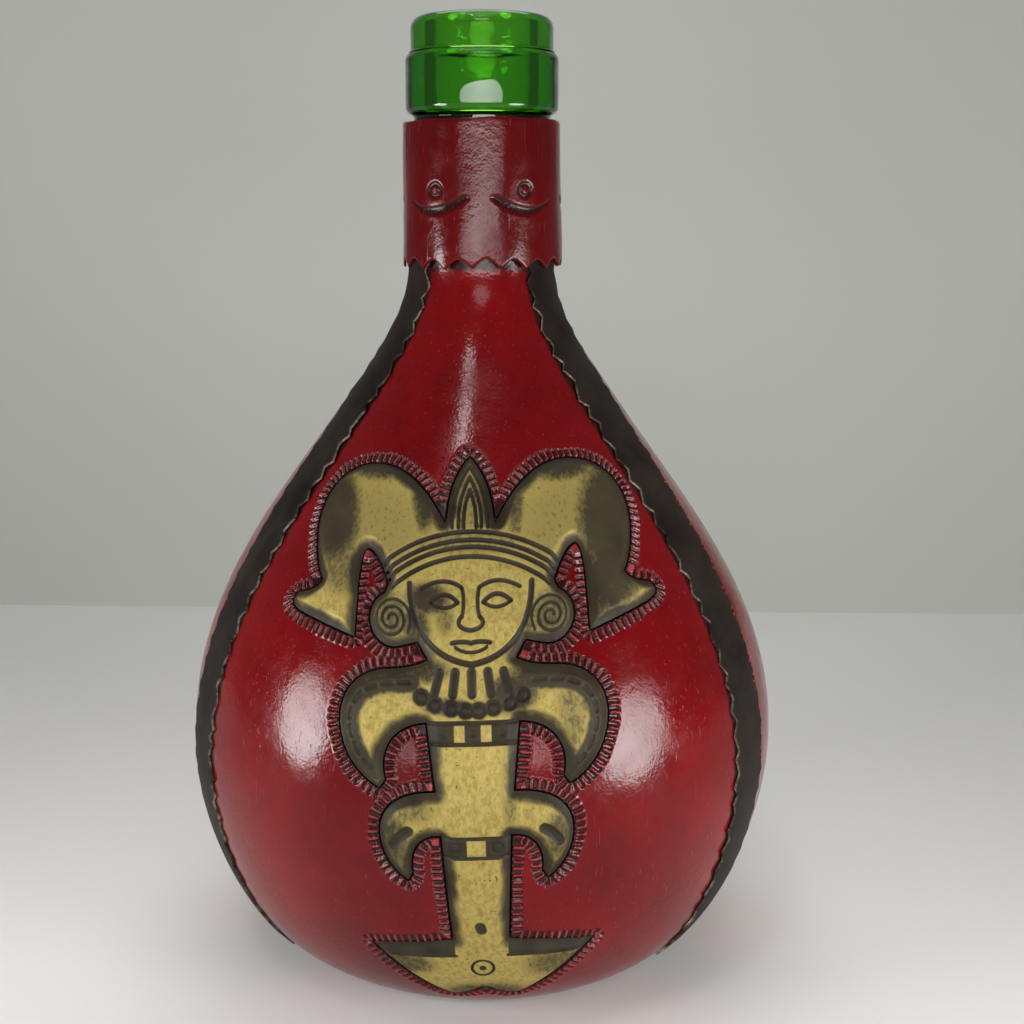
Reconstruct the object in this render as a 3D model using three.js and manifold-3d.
// A pear-shaped green glass bottle in a leather coat. Three red panels are moulded over the glass, a dark
// strip covers each seam between them, a red sleeve wraps the neck, a gilt figure sits in
// a window of the front panel over a paste filling, and a leather disc closes the coat under the foot.
// Millimetres, +Z up, origin on the table under the bottle's axis, front facing -Y.

import * as THREE from 'three';
import { mergeVertices } from 'three/addons/utils/BufferGeometryUtils.js';
import Module from 'manifold-3d';

const wasm = await Module();
wasm.setup();

// Clearances
const GLUE = 0.3; // glue line between two layers
const WINDOW_CLEARANCE = 0.3; // between the figure and the edge of its window
const BUTT_GAP = 0.5; // between two leather edges that meet
const DISC_PROUD = 0.3; // the disc under the foot stands this much below the panels

// Glass body
const FOOT_RADIUS = 32;
const BELLY_RADIUS = 57.1;
const BELLY_RISE = 42.8; // from the foot to the widest place
const SHOULDER_RISE = 93.2; // from the widest place to the neck
const NECK_RADIUS = 13.2;
const NECK_LENGTH = 28.5; // from the shoulder to the ring
const GLASS_WALL = 3.2;
const HEEL_SWEEP = 15.4; // curve handles that shape the outline
const HEEL_SWELL = 17.2;
const SHOULDER_SWELL = 40;
const NECK_SWEEP = 24.8;
const PUNT_RADIUS = 23;
const PUNT_HEIGHT = 10;

// Glass finish: a band below the lip, for a cork
const RING_RADIUS = 14.75;
const RING_HEIGHT = 11.5;
const RING_ROUND = 1.6;
const LIP_RADIUS = 13.7;
const LIP_HEIGHT = 6.6;
const LIP_ROUND = 1.8;
const BORE_RADIUS = 9.25;
const BORE_LENGTH = 20;
const BORE_FLARE = 10; // length over which the bore opens into the neck

// Leather
const PANEL_THICKNESS = 1.8;
const PANEL_SKIVED = 0.4; // pared thin where the sleeve covers it
const STRIP_THICKNESS = 0.6;
const STRIP_SKIVED = 0.4;
const SKIVE_LENGTH = 34;
const RIGHT_SEAM = 61; // degrees from the front to each seam
const LEFT_SEAM = -64;
const BACK_SEAM = 180;
const STRIP_WIDTH = 11.6;
const STRIP_NECK_WIDTH = 9.6;
const STRIP_START = 12; // along the outline from the foot's edge
const SLEEVE_BARE = 1.2; // glass left bare between the sleeve and the ring
const SLEEVE_DROP = 0.3; // the sleeve starts this far below the straight neck
const SLEEVE_THICKNESS = 0.7; // where it covers the other leather
const SLEEVE_TOP_RADIUS = 15.15;
const SLEEVE_OVERLAP = 3.4;
const SLEEVE_STEP = 1.6; // height over which the sleeve closes in on the glass
const SLEEVE_TEETH = 18;
const SLEEVE_TOOTH_DEPTH = 1.9;

// Gilt figure
const FIGURE_HEIGHT = 98.5;
const FIGURE_RISE = 4.6; // from the foot of the glass to the figure's lowest point
const FIGURE_LEAN = 2; // degrees, to the viewer's left, as it was laid on by hand
const FIGURE_THICKNESS = 1.8;
const FIGURE_RELIEF = 1.2; // the figure stands this much proud of the panel
const FILLING_INSET = 0.9;

// Mesh steps
const ROW_STEP = 7; // along the outline
const INSIDE_STEP = 12; // along the inside of the glass
const PANEL_COLUMN = 8; // degrees
const GLASS_SEGMENTS = 36;
const CURVE_STEPS = 4;
const EDGE_STEPS = 3;

// Heights that follow from the sizes above
const footZ = DISC_PROUD + PANEL_THICKNESS + GLUE;
const bellyZ = footZ + BELLY_RISE;
const neckZ = bellyZ + SHOULDER_RISE;
const ringZ = neckZ + NECK_LENGTH;
const lipZ = ringZ + RING_HEIGHT;
const topZ = lipZ + LIP_HEIGHT;
const sleeveZ = neckZ - SLEEVE_DROP;
const coatTopZ = sleeveZ + SLEEVE_OVERLAP;

const vec = (x, y) => new THREE.Vector2(x, y);

// Outline of the glass from the edge of the foot to the ring, as radius and height
const outline = new THREE.CurvePath();
outline.add(new THREE.CubicBezierCurve(
  vec(FOOT_RADIUS, footZ),
  vec(FOOT_RADIUS + HEEL_SWEEP, footZ),
  vec(BELLY_RADIUS, bellyZ - HEEL_SWELL),
  vec(BELLY_RADIUS, bellyZ),
));
outline.add(new THREE.CubicBezierCurve(
  vec(BELLY_RADIUS, bellyZ),
  vec(BELLY_RADIUS, bellyZ + SHOULDER_SWELL),
  vec(NECK_RADIUS, neckZ - NECK_SWEEP),
  vec(NECK_RADIUS, neckZ),
));
outline.add(new THREE.LineCurve(vec(NECK_RADIUS, neckZ), vec(NECK_RADIUS, ringZ)));
const outlineLength = outline.getLength();
const neckStart = outlineLength - NECK_LENGTH;
const coatLength = neckStart + coatTopZ - neckZ;

// Point at a distance along the outline, moved out from the glass
function outlinePoint(distance, offset) {
  const share = Math.min(distance / outlineLength, 1);
  const tangent = outline.getTangent(share);
  return outline.getPoint(share).add(vec(tangent.y, -tangent.x).multiplyScalar(offset));
}

// Leather thickness or width at a distance along the outline: full below, less towards the neck
function pared(distance, full, thin) {
  const share = THREE.MathUtils.smoothstep(distance, coatLength - SKIVE_LENGTH, neckStart);
  return THREE.MathUtils.lerp(full, thin, share);
}

const panelOuter = (distance) => GLUE + pared(distance, PANEL_THICKNESS, PANEL_SKIVED);
const stripInner = (distance) => panelOuter(distance) + GLUE;
const stripOuter = (distance) => stripInner(distance) + pared(distance, STRIP_THICKNESS, STRIP_SKIVED);

// Place in the model of a radius and height, turned from the front towards +X
function around(radius, height, angle) {
  return new THREE.Vector3(radius * Math.sin(angle), -radius * Math.cos(angle), height);
}

// Evenly spaced values from first to last, no further apart than step
function spread(first, last, step) {
  const count = Math.ceil((last - first) / step);
  return Array.from({ length: count + 1 }, (_, i) => first + ((last - first) * i) / count);
}

// Closed sheet from a grid of places: place(row, column, side) with side 0 on the glass and 1 outside
function sheet(rows, columns, place) {
  const positions = [];
  const faces = [];
  const index = (row, column, side) => (row * columns + column) * 2 + side;
  const quad = (a, b, c, d) => faces.push(a, b, c, a, c, d);
  for (let row = 0; row < rows; row += 1) {
    for (let column = 0; column < columns; column += 1) {
      positions.push(...place(row, column, 0), ...place(row, column, 1));
    }
  }
  for (let row = 0; row + 1 < rows; row += 1) {
    for (let column = 0; column + 1 < columns; column += 1) {
      const corner = (side) => [
        index(row, column, side),
        index(row, column + 1, side),
        index(row + 1, column + 1, side),
        index(row + 1, column, side),
      ];
      quad(...corner(1));
      quad(...corner(0).reverse());
    }
    const end = columns - 1;
    quad(index(row, 0, 0), index(row, 0, 1), index(row + 1, 0, 1), index(row + 1, 0, 0));
    quad(index(row, end, 1), index(row, end, 0), index(row + 1, end, 0), index(row + 1, end, 1));
  }
  for (let column = 0; column + 1 < columns; column += 1) {
    const end = rows - 1;
    quad(index(0, column, 0), index(0, column + 1, 0), index(0, column + 1, 1), index(0, column, 1));
    quad(index(end, column, 1), index(end, column + 1, 1), index(end, column + 1, 0), index(end, column, 0));
  }
  const geometry = new THREE.BufferGeometry();
  geometry.setAttribute('position', new THREE.Float32BufferAttribute(positions, 3));
  geometry.setIndex(faces);
  return geometry;
}

// Sheet that follows the glass between two angles, each edge trimmed back by a width, with its inner and
// outer offsets given along the outline
function coat(fromAngle, toAngle, trim, innerOffset, outerOffset) {
  const distances = spread(0, coatLength, ROW_STEP);
  const shares = spread(0, 1, THREE.MathUtils.degToRad(PANEL_COLUMN) / (toAngle - fromAngle));
  return sheet(distances.length, shares.length, (row, column, side) => {
    const distance = distances[row];
    const point = outlinePoint(distance, side ? outerOffset(distance) : innerOffset(distance));
    const cut = trim / point.x;
    return around(point.x, point.y, THREE.MathUtils.lerp(fromAngle + cut, toAngle - cut, shares[column]));
  });
}

// Boolean work
function solid(geometry) {
  const bare = new THREE.BufferGeometry().setAttribute('position', geometry.getAttribute('position').clone());
  bare.setIndex(geometry.getIndex());
  const merged = mergeVertices(bare);
  return new wasm.Manifold(new wasm.Mesh({
    numProp: 3,
    vertProperties: new Float32Array(merged.getAttribute('position').array),
    triVerts: new Uint32Array(merged.getIndex().array),
  }));
}

function geometryOf(manifold) {
  const mesh = manifold.getMesh();
  const geometry = new THREE.BufferGeometry();
  geometry.setAttribute('position', new THREE.Float32BufferAttribute(mesh.vertProperties, 3));
  geometry.setIndex(new THREE.BufferAttribute(mesh.triVerts, 1));
  return geometry;
}

// Finishes
const finish = (color, roughness, metalness = 0) => new THREE.MeshStandardMaterial({ color, roughness, metalness });
const greenGlass = finish(0x1d7a18, 0.08);
const redLeather = finish(0x7c1216, 0.38);
const darkLeather = finish(0x2a241d, 0.6);
const giltLeather = finish(0xa38c3f, 0.45, 0.35);
const paste = finish(0xb8a682, 0.9);
const soleLeather = finish(0x5b3a24, 0.75);

const bottle = new THREE.Group();

function addPiece(name, geometry, material) {
  const mesh = new THREE.Mesh(geometry, material);
  mesh.name = name;
  bottle.add(mesh);
}

// Quarter round of a turned edge, from one angle to another about a centre
function roundEdge(x, y, radius, fromDegrees, toDegrees) {
  const arc = new THREE.EllipseCurve(
    x, y, radius, radius,
    THREE.MathUtils.degToRad(fromDegrees), THREE.MathUtils.degToRad(toDegrees), toDegrees < fromDegrees,
  );
  return arc.getPoints(EDGE_STEPS);
}

// Glass bottle: turned in one piece with its punt, band, lip and bore
function glassProfile() {
  const stations = spread(0, outlineLength, ROW_STEP);
  const punt = (lift) => new THREE.QuadraticBezierCurve(
    vec(0, footZ + PUNT_HEIGHT + lift),
    vec(PUNT_RADIUS / 2, footZ + PUNT_HEIGHT + lift),
    vec(PUNT_RADIUS, footZ + lift),
  ).getPoints(CURVE_STEPS);
  const outside = stations.map((distance) => outlinePoint(distance, 0));
  const insideEnd = outlineLength - BORE_LENGTH - BORE_FLARE + RING_HEIGHT + LIP_HEIGHT;
  const inside = spread(0, insideEnd, INSIDE_STEP).map((distance) => outlinePoint(distance, -GLASS_WALL));
  return [
    ...punt(0),
    ...outside,
    ...roundEdge(RING_RADIUS - RING_ROUND, ringZ + RING_ROUND, RING_ROUND, -90, 0),
    ...roundEdge(RING_RADIUS - RING_ROUND, lipZ - RING_ROUND, RING_ROUND, 0, 60),
    vec(LIP_RADIUS, lipZ),
    ...roundEdge(LIP_RADIUS - LIP_ROUND, topZ - LIP_ROUND, LIP_ROUND, 0, 90),
    vec(BORE_RADIUS, topZ),
    vec(BORE_RADIUS, topZ - BORE_LENGTH),
    ...inside.reverse(),
    ...punt(GLASS_WALL).reverse(),
  ];
}
const turnedUpright = new THREE.LatheGeometry(glassProfile(), GLASS_SEGMENTS).rotateX(Math.PI / 2);
addPiece('glass_bottle', turnedUpright, greenGlass);

// Gilt figure: half of its outline, from the crest down to the notch in the foot blade, drawn beside its
// centre line on a scale of 100 for the figure's height. The other half mirrors it.
function figureOutline() {
  const half = new THREE.Path();
  half.moveTo(0, 100);
  half.quadraticCurveTo(3.6, 96.4, 4.2, 90.4);
  half.lineTo(4.6, 89.3);
  half.bezierCurveTo(8.1, 95.4, 12.2, 98.7, 17, 98.7);
  half.bezierCurveTo(24.4, 98.7, 29.8, 92.4, 29.2, 85.3);
  half.quadraticCurveTo(28.9, 81.2, 27.6, 79.2);
  half.quadraticCurveTo(28.9, 77.2, 32.3, 76.5);
  half.quadraticCurveTo(34.7, 74.7, 32.1, 73.7);
  half.lineTo(21.2, 70.9);
  half.bezierCurveTo(20.7, 76.1, 20.9, 84.9, 18.7, 85.1);
  half.quadraticCurveTo(16.8, 84.7, 14.8, 79.6);
  half.absarc(13.9, 74.1, 4.3, 1.2, -1.9, true);
  half.lineTo(9.5, 70.7);
  half.lineTo(7.7, 67.8);
  half.quadraticCurveTo(9.6, 66.6, 14.2, 66.2);
  half.bezierCurveTo(20.8, 66, 23.9, 61.4, 23.7, 56.9);
  half.bezierCurveTo(23.5, 51.8, 20.3, 47.9, 16.8, 46.3);
  half.lineTo(15.8, 47.7);
  half.bezierCurveTo(17, 52.3, 14.7, 57.3, 8.1, 57.7);
  half.lineTo(6.8, 45.7);
  half.bezierCurveTo(12.2, 45.7, 17, 43.7, 17, 38.1);
  half.bezierCurveTo(17, 34, 14.7, 30.5, 12.4, 29);
  half.lineTo(11.6, 30.5);
  half.bezierCurveTo(12.2, 35, 10.1, 38.2, 6.1, 37.9);
  half.lineTo(5, 16);
  half.lineTo(20.1, 13.6);
  half.quadraticCurveTo(13.7, 5.1, 7.5, 1.4);
  half.quadraticCurveTo(4.4, -0.2, 0, 3);
  const chin = vec(0, 68);
  const right = half.getPoints(CURVE_STEPS);
  const left = right.slice(1, -1).reverse().map((point) => vec(-point.x, point.y));
  const unit = FIGURE_HEIGHT / right[0].y;
  return [...right, ...left].map((point) => {
    point.rotateAround(chin, THREE.MathUtils.degToRad(FIGURE_LEAN));
    return point.multiplyScalar(unit).add(vec(0, footZ + FIGURE_RISE));
  });
}

// Closed outline moved outwards, or inwards for a negative distance
function grown(points, distance) {
  const turn = Math.sign(THREE.ShapeUtils.area(points));
  return points.map((point, i) => {
    const before = points[(i + points.length - 1) % points.length];
    const after = points[(i + 1) % points.length];
    const away = (from, to) => vec(to.y - from.y, from.x - to.x).normalize().multiplyScalar(turn);
    const side = away(before, point).add(away(point, after)).normalize();
    return point.clone().add(side.multiplyScalar(distance));
  });
}

// Upright prism of an outline seen from the front, reaching from the axis past the glass
function frontPrism(points) {
  const reach = BELLY_RADIUS + panelOuter(0) + FIGURE_RELIEF + FIGURE_THICKNESS;
  const prism = new THREE.ExtrudeGeometry(new THREE.Shape(points), { depth: reach, bevelEnabled: false });
  return solid(prism.rotateX(Math.PI / 2));
}

const rightAngle = THREE.MathUtils.degToRad(RIGHT_SEAM);
const leftAngle = THREE.MathUtils.degToRad(LEFT_SEAM);
const backAngle = THREE.MathUtils.degToRad(BACK_SEAM);
const figure = figureOutline();
const figureOuter = (distance) => panelOuter(distance) + FIGURE_RELIEF;
const figureInner = (distance) => figureOuter(distance) - FIGURE_THICKNESS;

function frontLayer(points, innerOffset, outerOffset) {
  const layer = solid(coat(leftAngle, rightAngle, 0, innerOffset, outerOffset));
  return geometryOf(layer.intersect(frontPrism(points)));
}

addPiece('gilt_figure', frontLayer(figure, figureInner, figureOuter), giltLeather);
addPiece(
  'figure_filling',
  frontLayer(grown(figure, -FILLING_INSET), () => GLUE, (distance) => figureInner(distance) - GLUE),
  paste,
);

// Red panels: the front one has the figure's window, and two plain ones share the back
function panel(fromAngle, toAngle) {
  return coat(fromAngle, toAngle, BUTT_GAP / 2, () => GLUE, panelOuter);
}
const frontPanel = solid(panel(leftAngle, rightAngle));
const frontWindow = frontPrism(grown(figure, WINDOW_CLEARANCE));
addPiece('front_panel', geometryOf(frontPanel.subtract(frontWindow)), redLeather);
addPiece('back_right_panel', panel(rightAngle, backAngle), redLeather);
addPiece('back_left_panel', panel(-backAngle, leftAngle), redLeather);

// Dark strips over the seams, narrower towards the neck
function seamStrip(angle) {
  const rows = spread(STRIP_START, coatLength, ROW_STEP);
  const across = [-1, -0.5, 0, 0.5, 1];
  return sheet(rows.length, across.length, (row, column, side) => {
    const distance = rows[row];
    const halfWidth = pared(distance, STRIP_WIDTH, STRIP_NECK_WIDTH) / 2;
    const point = outlinePoint(distance, side ? stripOuter(distance) : stripInner(distance));
    return around(point.x, point.y, angle + (across[column] * halfWidth) / point.x);
  });
}
addPiece('right_seam_strip', seamStrip(rightAngle), darkLeather);
addPiece('left_seam_strip', seamStrip(leftAngle), darkLeather);
addPiece('back_seam_strip', seamStrip(backAngle), darkLeather);

// Sleeve round the neck: it covers the tops of the panels and strips, closes in on the glass above them,
// has a toothed lower edge, and its two ends meet at the back
function neckSleeve() {
  const columns = SLEEVE_TEETH * 2 + 1;
  const lowInner = NECK_RADIUS + stripOuter(coatLength) + GLUE;
  const lowOuter = lowInner + SLEEVE_THICKNESS;
  const highInner = NECK_RADIUS + GLUE;
  const stepZ = coatTopZ + GLUE;
  const rows = [
    { z: sleeveZ, inner: lowInner, outer: lowOuter, tooth: SLEEVE_TOOTH_DEPTH },
    { z: stepZ, inner: lowInner, outer: lowOuter, tooth: 0 },
    { z: stepZ + SLEEVE_STEP, inner: highInner, outer: lowOuter, tooth: 0 },
    { z: ringZ - SLEEVE_BARE, inner: highInner, outer: SLEEVE_TOP_RADIUS, tooth: 0 },
  ];
  const halfTurn = Math.PI - BUTT_GAP / 2 / NECK_RADIUS;
  return sheet(rows.length, columns, (row, column, side) => {
    const { z, inner, outer, tooth } = rows[row];
    const angle = THREE.MathUtils.lerp(-halfTurn, halfTurn, column / (columns - 1));
    return around(side ? outer : inner, z + (column % 2 ? tooth : 0), angle);
  });
}
addPiece('neck_sleeve', neckSleeve(), redLeather);

// Disc under the foot, inside the ends of the panels
const discThickness = footZ - GLUE;
const disc = new THREE.CylinderGeometry(
  FOOT_RADIUS - BUTT_GAP, FOOT_RADIUS - BUTT_GAP, discThickness, GLASS_SEGMENTS,
);
disc.rotateX(Math.PI / 2).translate(0, 0, discThickness / 2);
addPiece('foot_disc', disc, soleLeather);

export default bottle;
